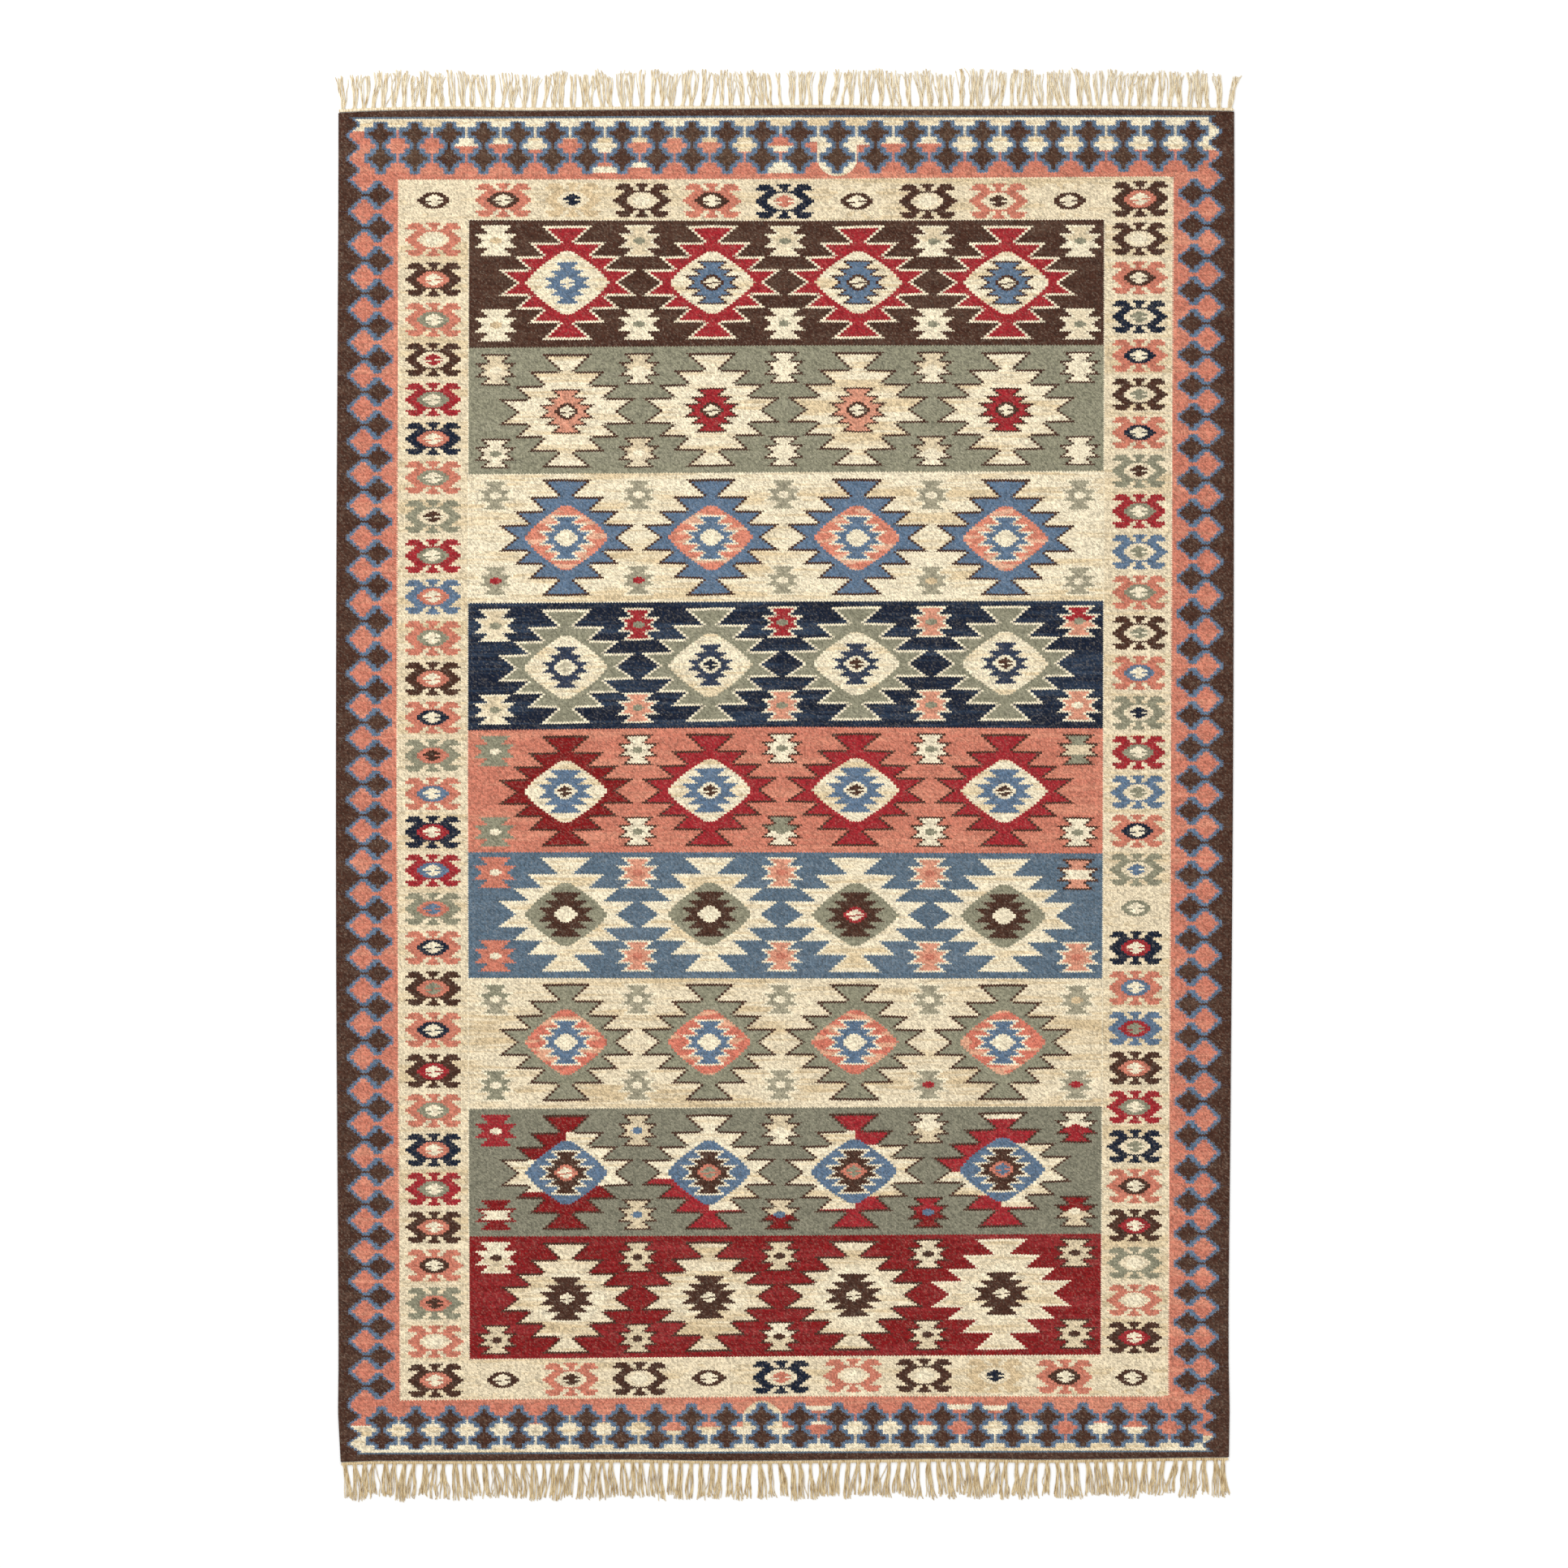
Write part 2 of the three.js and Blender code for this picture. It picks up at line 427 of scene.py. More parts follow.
# Half-widths in millimetres, for distances up or down from a figure's middle
MEDALLION = (
    (0, 69), (17.9, 94), (18, 51), (35.5, 72.5), (35.6, 31.5), (54.6, 52.5),
    (54.7, 9.6), (77, 34.4), (77.1, 0),
)
DIAMOND = ((0, 57), (3, 55), (10, 49), (18, 41), (28, 28), (35, 17.5), (40, 10), (42.5, 7), (42.6, 0))
STAR = ((0, 25.6), (9.6, 39), (9.7, 17.2), (19, 30.2), (19.1, 9.8), (30, 22.4), (30.1, 0))
RING = ((0, 15.9), (1.6, 15.9), (2.5, 14.5), (5, 11.6), (8, 8.5), (10.9, 4.5), (11, 0))
EYE = ((0, 10.4), (1.6, 10.2), (3, 9), (5, 5.6), (6, 2.4), (8, 2), (8.1, 0))
SMALL_STAR = ((0, 16.5), (9.4, 28.3), (9.5, 9.3), (20.8, 21.3), (20.9, 0))
DOT = ((0, 8.3), (2.5, 6.5), (4.3, 3), (4.4, 0))

# How much wider each figure grows for each millimetre from its middle, along its slanting edges
MEDALLION_SLOPE = 1.25
DIAMOND_SLOPE = -1.2
STAR_SLOPE = 1.2
RING_SLOPE = -1
HORN_SLOPE = 1

# Each band's yarns: its ground, its medallions' line, body and diamond. Then the four medallions'
# inner stars, as star, its line, ring and eye. Then the five small stars of the far row and of
# the near row, as line, upper part, lower part and dot.
BANDS = (
    ("kcrc", "bcbc bkkc bkkc bkkc", "ccce cttg ctog ctcg ctcg", "ccce cccg cccg cccg coog"),
    ("gkcc", "mkkc rkkc mkkc rkkc", "ktoc ktcc kccc ktcc kccc", "kccg ktoc kccc ktcc kccc"),
    ("ckbm", "bccc bccc bccc bccc", "chhc chhc chhc chhc chhc", "chhr chhr chhc chhe chhc"),
    ("ncgc", "jccv jccn jcck jcck", "ctog crrg crrg cmmg crmg", "ctog cmmg cmmg cmmg cmmc"),
    ("skqc", "bbck bbck bbck bbck", "gggc kccg kccg kccg kggc", "gggc kccg kgcg kccg kccg"),
    ("lccg", "kkcc kkcc kkrc kkcc", "sssc cmms cmms cmms kmmc", "sssc cmms cmms cmms cmms"),
    ("akgs", "bccc bccc bccc bccc", "cghc chhc chhc chhc chhe", "cggc chhc chhc chhr chhr"),
    ("dkcb", "kcsc kcsg kcsg kcsb", "rrrc kttb ktcc kctc kcrr", "qqqc kttb ktqb krqb kqtc"),
    ("qkac", "kkkc kkkc kkkc kkkc", "cctk kttk kttk kook kttk", "kttk kttk kctk kotk kttk"),
)


# Small stars with a belt of another yarn, in bands counted from 0: row, place from the left, yarn
BELTS = {4: ((1, 4, "t"),), 5: ((1, 4, "c"),), 7: ((-1, 0, "c"),)}
BELT_HIGH = 6.5


def band_pattern(number):
    """The weave of one band of the field, counted from the far end."""
    plain, medallions, far_stars, near_stars = BANDS[number]
    ground, line, body, diamond = plain
    p = Pattern(f"kilim_band_{number + 1}")
    up = p.second * BAND_HEIGHT + p.tooth + p.stray(1)
    column = p.first

    stars = (column / 2 + 0.5).floor()
    out = abs((column - stars * 2) * COLUMN - p.warp * WARP_PAIR + p.stray(2))
    colour = small_stars(p, p.dyed(ground), up, stars, out, far_stars, near_stars)
    for row, star, letter in BELTS.get(number, ()):
        away = up - row * STAR_AT
        inside = out < p.width(inset(SMALL_STAR, *STAR_LINE), away, STAR_SLOPE)
        belt = (abs(stars - star) < 0.5) * (abs(away) < BELT_HIGH) * inside
        colour = p.mix(belt, colour, yarn(letter))

    medal = (column / 2).floor().maths("MAXIMUM", 0).least(3)
    side = (column - medal * 2 - 1) * COLUMN - p.warp * WARP_PAIR + p.stray(2)
    out = abs(side)
    lines = p.by_number(medal, "kkkc") if number == 8 else yarn(line)
    inner = p.by_number(medal, "qrrr") if number == 4 else p.dyed(body)
    if number == 7:
        inner = p.mix(red_patches(p, medal, up, side), inner, p.by_number(medal, "qrrr"))
    star, star_line, ring, eye = (p.by_number(medal, "".join(each)) for each in zip(*medallions.split()))
    figures = (
        (MEDALLION, MEDALLION_SLOPE, lines),
        (inset(MEDALLION, *MEDALLION_LINE), MEDALLION_SLOPE, inner),
        (DIAMOND, DIAMOND_SLOPE, diamond_yarn(p, diamond)),
        (STAR, STAR_SLOPE, star_line),
        (inset(STAR, *STAR_LINE), STAR_SLOPE, star),
        (RING, RING_SLOPE, ring),
        (EYE, RING_SLOPE, eye),
    )
    colour = p.lay(colour, figures, out, up)
    colour = p.mix(dashes(p, side, up), colour, ring)

    above = BANDS[number - 1][0][0] if number else "c"
    colour = p.mix(p.second * BAND_HEIGHT + p.tooth > BAND_HEIGHT / 2 - TOOTH, colour, yarn(above))
    if number == len(BANDS) - 1:
        below = p.second * BAND_HEIGHT + p.tooth < TOOTH - BAND_HEIGHT / 2
        colour = p.mix(below, colour, yarn("c"))
    left = (column - FIELD_LEFT) * COLUMN + p.side_tooth < SIDE_TOOTH
    right = (FIELD_RIGHT - column) * COLUMN + p.side_tooth < SIDE_TOOTH
    colour = p.mix(left | right, colour, yarn("c"))
    return spin(p, colour)


def small_stars(p, ground, up, number, out, far_stars, near_stars):
    """The ten small stars between the medallions, over the band's ground."""
    parts = []
    for row in (near_stars, far_stars):
        parts.append(["".join(each) for each in zip(*row.split())])
    line, upper, lower, dot = (
        p.mix(up > 0, p.by_number(number, near), p.by_number(number, far))
        for near, far in zip(*parts)
    )
    away = up - up.maths("SIGN") * STAR_AT
    fill = p.mix(away > 0, lower, upper)
    figures = (
        (SMALL_STAR, STAR_SLOPE, line),
        (inset(SMALL_STAR, *STAR_LINE), STAR_SLOPE, fill),
        (DOT, RING_SLOPE, dot),
    )
    return p.lay(ground, figures, out, away)


DASH = 4.5  # half of a dash's length
DASH_HIGH = 1  # half of its height
DASH_LOWER = 1.7


def dashes(p, side, up, middle=6):
    """The two dashes that reach into an eye from its ring, the left one a little lower."""
    level = up - p.tooth * 0.5
    right = (abs(side - middle) < DASH) * (abs(level) < DASH_HIGH)
    left = (abs(side + middle) < DASH) * (abs(level + DASH_LOWER) < DASH_HIGH)
    return right | left


# One band's medallions are partly red: above the first places and below the last ones, up from
# their middle, on the left and the right half of each medallion. At one place the red stops again.
RED_ABOVE = ((17.5, 95, 54.7, -2), (54.7, 95, 35.5, 35.5))
RED_BELOW = ((-26, -8, -50, -34), (-17, -50, -34, -50))
RED_TOP = (95, 95, 95, 68)


def red_patches(p, number, up, side):
    """Where the weaver ran out of cream and went on in red, in one band's medallions."""
    right = side > 0
    above, below = (
        p.mix(right, *(p.amount(number, half, CURVE_SPAN) for half in halves))
        for halves in (RED_ABOVE, RED_BELOW)
    )
    return (up > above) * (up < p.amount(number, RED_TOP, CURVE_SPAN)) | (up < below)


# The deep and the pale dye lot of each salmon yarn of the diamonds, and the size of their streaks
SALMON_LOTS = {"s": ((211, 118, 97), (226, 168, 136)), "m": ((217, 133, 109), (230, 176, 146))}
SALMON_LENGTH = 50
SALMON_HEIGHT = 11


def diamond_yarn(p, letter):
    """A diamond's yarn. The salmon ones are woven from a deep and a pale dye lot."""
    if letter not in SALMON_LOTS:
        return p.dyed(letter)
    across = (p.x - p.warp * WARP_PAIR) / SALMON_LENGTH
    place = p.join(across, (p.y + p.tooth) / SALMON_HEIGHT, 7.0)
    lot = p.noise(place, 1.0) > 0.55
    deep, pale = SALMON_LOTS[letter]
    return p.mix(lot, daylight(*deep), daylight(*pale))


# How far the figures of each band stand above their even places, at its left end, its middle
# and its right end
BAND_ENDS = (1, 4, 7)
UP_BY = (
    (0.4, 0.4, -1.1),
    (-2.7, -2, -3.2),
    (-0.5, -1.5, -4.3),
    (-3, -0.5, 0.9),
    (-2, -0.9, -1.7),
    (0.2, 0.6, -1.1),
    (0.6, 0.4, -0.7),
    (-1.5, -2, 0.6),
    (-2.2, -0.5, 1.8),
)
# How far each column of stars and medallions stands to the right of its even place
RIGHT_BY = (1, -0.9, -0.4, 0.4, 0, 0.2, 0.9, 1.3, -0.2)

# The border

BORDER_WIDTH = 94
BORDER_ROW = 52
FIGURE_PITCH = 52.8
ROW_PITCH = COLUMN * 0.97  # the same in the far row and the near row
HORN_OUTER = (
    (0, 38.4), (1.6, 38.4), (2.5, 36), (6, 31.5), (9.5, 27), (13, 23), (13.6, 23), (13.7, 38.4),
    (16, 36.4), (19, 33.8), (22.2, 30.8), (22.3, 0),
)
HORN_INNER = ((0, 0), (12.6, 0), (12.7, 9.6), (15, 11.8), (18, 14.6), (22.2, 18.6), (22.3, 40))
BOW = ((10, 3.2), (14, 3.4), (16, 4.2), (18, 6), (20.5, 9.4), (22.2, 11.2), (22.3, 0))
BORDER_RING = ((0, 22), (1.6, 22), (2.5, 20.6), (5.5, 16.6), (8.5, 12.6), (10.5, 9.4), (10.6, 0))
BORDER_EYE = ((0, 12.3), (2.8, 11.4), (4, 9), (5.3, 6), (6.6, 3.9), (7.4, 3.6), (7.5, 0))

# Each border figure's yarns, from the far or left end: its horns, its ring and its eye
LEFT_FIGURES = (
    "scc ksc sgc kcr rgc nsc sgc gck rgc bsc sgc ksc snc gsk sbc nrc rbc gsb snc ksg snc krc "
    "sgc nsc rgc ksc skc gsk scc"
)
RIGHT_FIGURES = (
    "kcc skc ncg snc kcg snc gck rgc bcg sgc kcg sbc gcn rgc bcg snc gcb cgc nrc sbc brg ksc "
    "rgc ncg skc krc gcc scc krc"
)
FAR_FIGURES = "ckc skc ecn kcc skc ncs ckc kcc sck ckc ksc"
NEAR_FIGURES = "ksc ckc sck kcc ckc ncs scc kcc ecn skc ckc"


def border_pattern(name, figures, upright):
    """The weave of one border strip. In an upright one the figures stand one above another."""
    p = Pattern(name)
    figures = figures.split()
    run, offset = (p.second, p.first) if upright else (p.first, p.second)
    number = (run + 0.5).floor().maths("MAXIMUM", 0).least(len(figures) - 1)
    if upright:
        up = (number - run) * FIGURE_PITCH
        side = offset * BORDER_WIDTH
    else:
        up = offset * BORDER_ROW
        side = (run - number) * ROW_PITCH
    up = up + p.tooth + p.stray(1) * 0.7
    side = side - p.warp * WARP_PAIR + p.stray(2) * 0.7
    horns, ring, eye = ("".join(each) for each in zip(*figures))
    out = abs(side)
    colour = p.dyed("o")
    in_horns = out < p.width(HORN_OUTER, up, RING_SLOPE)
    in_horns = in_horns * (out > p.width(HORN_INNER, up, HORN_SLOPE))
    in_horns = in_horns | (out < p.width(BOW, up, HORN_SLOPE))
    colour = p.mix(in_horns, colour, p.by_number(number, horns.replace("c", "o")))
    figures = (
        (BORDER_RING, RING_SLOPE, p.by_number(number, ring.replace("c", "o"))),
        (BORDER_EYE, RING_SLOPE, p.by_number(number, eye)),
    )
    colour = p.lay(colour, figures, out, up)
    colour = p.mix(dashes(p, side, up, 8), colour, p.by_number(number, ring))
    return spin(p, colour)


# The side strips and the end strips

SIDE_WIDTH = 84
CROSS_PITCH = 43.3
CELL_AT = 36  # middles of the salmon cells and of the brown crosses, inward from the edge
CROSS_AT = 57
NECK = 2.3  # half of the salmon neck between two crosses
SALMON_CELL = steps((2.5, 17.3), (6.8, 12.6), (11, 9.2), (15.7, 4.4))
INNER_SALMON = steps((5.5, 19.2), (9, 13.5), (13, 8), (18.6, 4.2))
SIDE_BROWN = steps((1.5, 57), (5, 32), (9, 27.5), (13, 22.5), (17, 18.5), (22, 13.8))
SIDE_CROSS = steps((1.8, 16.5), (5, 13.3), (9, 9.5), (14.5, 3))
DOVETAIL = 1.1  # how much deeper than other side teeth the outlines of the crosses interlock


def side_pattern():
    """The weave of both side strips: brown crosses with blue edges on salmon, along a brown edge."""
    p = Pattern("kilim_sides")
    inward = p.first * SIDE_WIDTH + p.snap + p.side_tooth * DOVETAIL
    number = (p.second + 0.5).floor()
    off = abs((p.second - number) * CROSS_PITCH + p.tooth)
    edge = abs(CROSS_PITCH / 2 - off)
    colour = yarn("b")
    salmon = (inward > CROSS_AT) * (abs(inward - CROSS_AT) > p.profile(INNER_SALMON, off))
    salmon = salmon | (abs(inward - CELL_AT) < p.profile(SALMON_CELL, edge))
    salmon = salmon | (inward > CELL_AT) * (edge < NECK)
    colour = p.mix(salmon, colour, p.dyed("s"))
    cross = abs(inward - CROSS_AT) < p.profile(SIDE_CROSS, off)
    colour = p.mix(cross | (inward < p.profile(SIDE_BROWN, off)), colour, p.dyed("k"))
    colour = p.mix(inward > SIDE_WIDTH - SIDE_TOOTH, colour, yarn("c"))
    return spin(p, colour)


END_PITCH = 47.4
END_SPAN = 50  # the far edge of an end strip's own measure, from the middle of its crosses
END_BLUE = (
    (-35.6, 0), (-35.5, 7.3), (-27, 7.8), (-26.9, 14), (-21, 14), (-20.9, 22.3), (-8, 22.3),
    (-7.9, 14.4), (-1.6, 14.4), (-1.5, 7.4), (4.4, 7.4), (4.5, 13.7), (12, 13.7), (12.1, 22.3),
    (26.6, 22.3), (26.7, 10.5), (33.9, 10.5), (34, 0),
)
END_BROWN = (
    (-32, 0), (-31.9, 3), (-25.4, 3), (-25.3, 6), (-21.8, 6), (-21.7, 11), (-17.6, 11),
    (-17.5, 17.6), (-12.3, 17.6), (-12.2, 11), (-8.8, 11), (-8.7, 6.6), (-3, 6.6), (-2.9, 2.4),
    (6.4, 2.4), (6.5, 6), (10.4, 6), (10.5, 10.4), (15.2, 10.4), (15.3, 17.6), (21, 17.6),
    (21.1, 9.4), (24.4, 9.4), (24.5, 5), (32, 5), (32.1, 0),
)
COMB_PITCH = 30.5
COMB = steps((4, 26), (8, 21), (12, 16), (16, 12))
# Where salmon gives way to cream in the gap before each cross, out from the crosses' middle
FAR_GAPS = (
    21.6, 23, 19, 1.3, 4, -3.4, 11, -7.4, 5.8, 11, 5.8, -6.6, -6.6, 5.8, 1.8, 3.2, 3.2, -7.4,
    -8.2, -8.2, -8.2, -6.6, -6, -5.5, -6.6,
)
NEAR_GAPS = (
    -7, -16, -16, -16, -19, -8, -21.8, -10, -12, 4.1, -1.3, -1.3, 0.5, 16.6, -9.7, -14.2, -3.3,
    12.1, -11.9, -11.9, 22, -6.6, 0, 20, 14.1,
)
LAST_GAP = 24
# Odd patches of yarn left in some gaps: the gap, the patch's two sides and its yarn
FAR_PATCHES = (
    (7, -34, -25.8, "c"), (8, -27.2, -19.7, "c"), (12, 0.9, 16.7, "s"), (12, -34.6, -17.5, "c"),
)
NEAR_PATCHES = (
    (13, -33.5, -26.3, "c"), (13, -10, -4.4, "c"), (17, -35, -27.9, "c"), (18, -34, -26.4, "c"),
)
# One cross at each end stands in a round cream patch: its number, the round part's middle and height
FAR_ROUND = (13, -14.9, 24.1)
NEAR_ROUND = (11, -17.7, 20.7)
ROUND_REACH = 24.9
# How far the brown corners' bulges are shifted outward, at the left and at the right
FAR_SHIFTS = (0.5, 3.5)
NEAR_SHIFTS = (7.5, -1.3)
# How far the crosses' brown is faded at most, and how far the near ones stand in from their middle
FAR_FADED = 0.4
NEAR_FADED = 0.05
NEAR_LOWER = 1.2


FADED_BROWN = (92, 72, 54)
BORDER_FROM = 43.2  # from the middle of an end strip's crosses to the border's edge
BLUE_EDGE = 4.5  # how wide the blue edge of the brown corners is
TWINED_ROW = 37.6  # where a row of blue crosses the end, out from the crosses' middle
LAST_ROWS = 40.3  # where the rug's brown end begins


def round_patch(p, out, number, middle, height):
    """The round patch of cream behind one cross, open towards the end of the rug."""
    side = abs((p.first - number) * END_PITCH - p.narrow) / ROUND_REACH
    drop = (middle - out) / height | 0
    return side * side + drop * drop < 1


def end_pattern(name, gaps, patches, cream_round, shifts, faded, lower=0):
    """The weave of one end strip: brown crosses with blue edges, on salmon and cream."""
    p = Pattern(name)
    out = p.second * END_SPAN + p.tooth
    number = (p.first + 0.5).floor().maths("MAXIMUM", 0).least(LAST_GAP - 1)
    off = abs((p.first - number) * END_PITCH - p.narrow) + p.side_tooth * DOVETAIL | JUMP
    gap = (p.first + 1).floor().maths("MAXIMUM", 0).least(LAST_GAP)
    change = p.amount(gap, gaps, CURVE_SPAN)
    colour = p.mix(out > change, p.dyed("s"), p.dyed("c"))
    for place, low, high, letter in patches:
        here = (abs(gap - place) < 0.5) * (out > low) * (out < high)
        colour = p.mix(here, colour, yarn(letter))
    colour = p.mix(round_patch(p, out, *cream_round), colour, p.dyed("c"))
    along = out + END_SPAN + lower
    blue = [(x + END_SPAN, y) for x, y in END_BLUE]
    brown = [(x + END_SPAN, y) for x, y in END_BROWN]
    colour = p.mix(off < p.profile(blue, along), colour, yarn("b"))
    crosses = p.mix(p.chance(number, out > 2) * faded, p.dyed("k"), daylight(*FADED_BROWN))
    colour = p.mix(off < p.profile(brown, along), colour, crosses)
    inward = (p.first + 1.25).least(LAST_GAP + 0.1 - p.first) * END_PITCH + p.snap
    border = (inward > SIDE_WIDTH) * (out < TOOTH - BORDER_FROM)
    colour = p.mix(border, colour, yarn("o"))
    inward = inward + p.side_tooth * DOVETAIL
    shift = (p.x > 0) * (shifts[1] - shifts[0]) + shifts[0]
    bulge = abs((out - shift + COMB_PITCH / 2).remainder(COMB_PITCH) - COMB_PITCH / 2)
    reach = p.profile(COMB, bulge)
    colour = p.mix(inward < reach + BLUE_EDGE, colour, yarn("b"))
    level = out - p.tooth * 0.4
    colour = p.mix(level > TWINED_ROW, colour, yarn("l"))
    colour = p.mix((inward < reach) | (level > LAST_ROWS), colour, p.dyed("k"))
    colour = p.mix(out > END_SPAN + TOOTH * 0.4, colour, yarn("o"))
    return spin(p, colour)


# The wool

SLANT = 0.3  # how far a bead's sides are above and below its middle, in rows
HEATHER = 0.1  # the pale warp that shows between the beads, at most
PALE_WARP = (238, 222, 196)
WOOL = {"Roughness": 0.9, "Specular IOR Level": 0.12, "Sheen Weight": 0.03, "Sheen Roughness": 0.6}


def spin(p, colour):
    """Finishes a pattern in hand-spun wool: slanting beads of weft, each of its own brightness, with
    painted shade in the grooves between the beads and a lighter painted crown on each.
    """
    column = p.x / WARP
    across = column.maths("FRACT") * 2 - 1
    drift = p.noise(p.join(p.x / 30, p.y / 50, 2.0), 1.0) * 3
    row = p.y / PICK + across * SLANT + drift + column.floor().remainder(2) * 0.5
    along = row.maths("FRACT") * 2 - 1
    # each bead's rounded height: its bump, and also painted shade in the colour
    crown_bump_and_painted_shade = (1 - across * across) * (1 - along * along)
    chance = p.chance(column.floor(), row.floor())
    coarse = p.chance((column / 2).floor() + 0.5, (row / 2).floor())
    heather = p.chance(column.floor() + 0.5, row.floor())
    heather = heather * heather
    colour = p.mix(heather * heather * HEATHER, colour, daylight(*PALE_WARP))
    # painted shade: besides its random brightness, each bead is darker towards the grooves between beads
    # and lighter on its crown
    brightness = 0.4 + chance * 0.7 + coarse * 0.25 + crown_bump_and_painted_shade * 0.3
    bump = {"Height": crown_bump_and_painted_shade, "Strength": 0.5, "Distance": 0.6 * MM}
    return p.finish(p.shade(colour, brightness), bump, WOOL)


# The woven cloth

THICKNESS = 3
RIM = 1.3  # how far in from the outline the rounded edge goes
RIM_SHARE = 0.72  # of the thickness, that far in
FACE_LOW = 0.2  # the underside
FACE_HIGH = 2.9
WAVE_REACH = 0.1  # how far a wave of the faces may stand out
# How far the outline bulges past its even left and far edges
LEFT_BULGE = 1.6
FAR_BULGE = 2


def outline_of_cloth():
    """The four edges of the CAD cloth, each as places along it and how far out it stands."""
    points = np.array([v.co[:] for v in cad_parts["kilim_cloth"].data.vertices]) / MM
    low, high = points.min(0), points.max(0)
    edges = {}
    margin = 12
    for name, axis, side in (("left", 0, low), ("right", 0, high), ("near", 1, low), ("far", 1, high)):
        along = 1 - axis
        edge = points[abs(points[:, axis] - side[axis]) < margin]
        edge = edge[np.argsort(edge[:, along])]
        edges[name] = (edge[:, along], edge[:, axis])
    return edges


def edge_at(edges, name, along):
    """Where an edge of the cloth stands at places along it."""
    return np.interp(along, *edges[name])


class Layout:
    """The grid of the cloth, whose lines follow the uneven lines of the weaving."""

    def __init__(self):
        self.edges = outline_of_cloth()
        low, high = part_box("kilim_cloth")
        self.left = low.x / MM + LEFT_BULGE
        self.far = high.y / MM - FAR_BULGE

    def upright(self, number, down):
        """Across, in millimetres, for an upright main line at places down the cloth."""
        y = self.far - down
        if number == 0:
            return edge_at(self.edges, "left", y) - self.left
        if number == LAST_UPRIGHT:
            return edge_at(self.edges, "right", y) - self.left
        return np.interp(down, UPRIGHT_AT, UPRIGHT_LINES[number - 1])

    def level(self, number, across):
        """Down, in millimetres, for a level main line at places across the cloth."""
        x = self.left + across
        if number == 0:
            return self.far - edge_at(self.edges, "far", x)
        if number == LAST_LEVEL:
            return self.far - edge_at(self.edges, "near", x)
        return np.interp(across, LEVEL_AT, LEVEL_LINES[number - 1])


def shares(counts, rim):
    """Main line number and share towards the next one, for each line of the grid."""
    rows = []
    for number, count in enumerate(counts):
        parts = [i / count for i in range(count)]
        if number == 0:
            parts = [0, rim, *parts[1:]]
        if number == len(counts) - 1:
            parts = [*parts, 1 - rim]
        rows += [(number, part) for part in parts]
    return rows + [(len(counts) - 1, 1.0)]


# Lines of the grid from each main line to the next, and the height of the first and last row
ACROSS_COUNTS = (10, 11, 5, 46, 46, 4, 11, 10)
DOWN_COUNTS = (2, 8, 2, 6, *(20,) * len(BANDS), 6, 2, 8, 2)
END_ROWS = 10


def blend(line, rows, other):
    """Places of the grid's lines, each between two main lines."""
    places = zip(rows, other)
    return np.array([(1 - share) * line(n, o) + share * line(n + 1, o) for (n, share), o in places])


def grid_places(layout, columns, rows):
    """Across and down, in millimetres, of every crossing of the grid: [row, column]."""
    shape = (len(rows), len(columns))
    across = np.tile(np.linspace(0, CLOTH_WIDTH, len(columns)), (shape[0], 1))
    down = np.zeros(shape)
    for _ in range(4):  # each turn brings the places nearer to both sets of lines
        down = blend(layout.level, rows, across)
        across = blend(layout.upright, columns, down.T).T
    return across, down


# Places of figures along the strips, from the far or left end: numbers of figures and where they are
LEFT_COLUMN = (
    (0, 4, 8, 11, 14, 18, 21, 24, 28),
    (174, 389, 598, 764, 917.5, 1123.5, 1290, 1448, 1652.5),
)
RIGHT_COLUMN = (
    (0, 4, 6, 10, 14, 17, 19, 20, 23, 25, 28),
    (173, 382, 484, 702, 915.5, 1071, 1177.5, 1233, 1390.5, 1497, 1647),
)
FAR_ROW = ((0, 4, 6, 10), (130, 502.5, 697.5, 1077.5))
NEAR_ROW = ((0, 2, 4, 6, 9, 10), (132, 314, 498.5, 693, 977, 1067))
LEFT_CROSSES = (
    (0, 4, 8, 12, 14, 16, 20, 24, 28, 32, 36),
    (114.5, 290, 467, 638, 734, 822, 987.5, 1158.5, 1338.5, 1511.5, 1672),
)
RIGHT_CROSSES = (
    (0, 4, 8, 12, 14, 16, 20, 24, 28, 30, 32, 36),
    (111.5, 286.5, 453.5, 628, 723.5, 813, 983, 1156.5, 1330, 1421.5, 1508, 1666),
)
FAR_CROSSES = (
    (0, 4, 8, 11, 12, 14, 16, 20, 23),
    (58.5, 242.5, 429.5, 570.5, 620, 722.5, 818.5, 1008.5, 1148),
)
NEAR_CROSSES = (
    (0, 4, 7, 8, 11, 13, 16, 20, 23),
    (60, 243.5, 381, 428.5, 569.5, 672, 812, 1001, 1140),
)
# How far some of the border's figures stand off the middle of their strip, to the right or up
LEFT_ASIDE = ((0, 28), (0, 0))
RIGHT_ASIDE = ((0, 4, 8, 10, 14, 17, 19, 28), (1, 1.6, 2.3, 3.6, 1.4, 0, -1.2, -0.5))
FAR_ASIDE = ((0, 2, 6, 9, 10), (-1, 0, -2.5, -3.2, -1))
NEAR_ASIDE = ((0, 5, 6, 8, 10), (-1.5, -1.5, 1, 0, -3))


def running_number(table, places):
    """The number of the figure at each place, with the part of the way to the next one."""
    numbers, middles = (np.array(list(each), float) for each in table)
    first = (middles[1] - middles[0]) / (numbers[1] - numbers[0])
    last = (middles[-1] - middles[-2]) / (numbers[-1] - numbers[-2])
    reach = 200
    numbers = np.r_[numbers[0] - reach / first, numbers, numbers[-1] + reach / last]
    middles = np.r_[middles[0] - reach, middles, middles[-1] + reach]
    return np.interp(places, middles, numbers)


# The main lines of an end strip, counted from the rug's end, and where they are in its own measure
END_LINES = (0, 1, 2, 3)
END_PLACES = (END_SPAN, 39.5, -34, -BORDER_FROM)
LAST_LEVEL = len(LEVEL_LINES) + 1
LAST_UPRIGHT = len(UPRIGHT_LINES) + 1


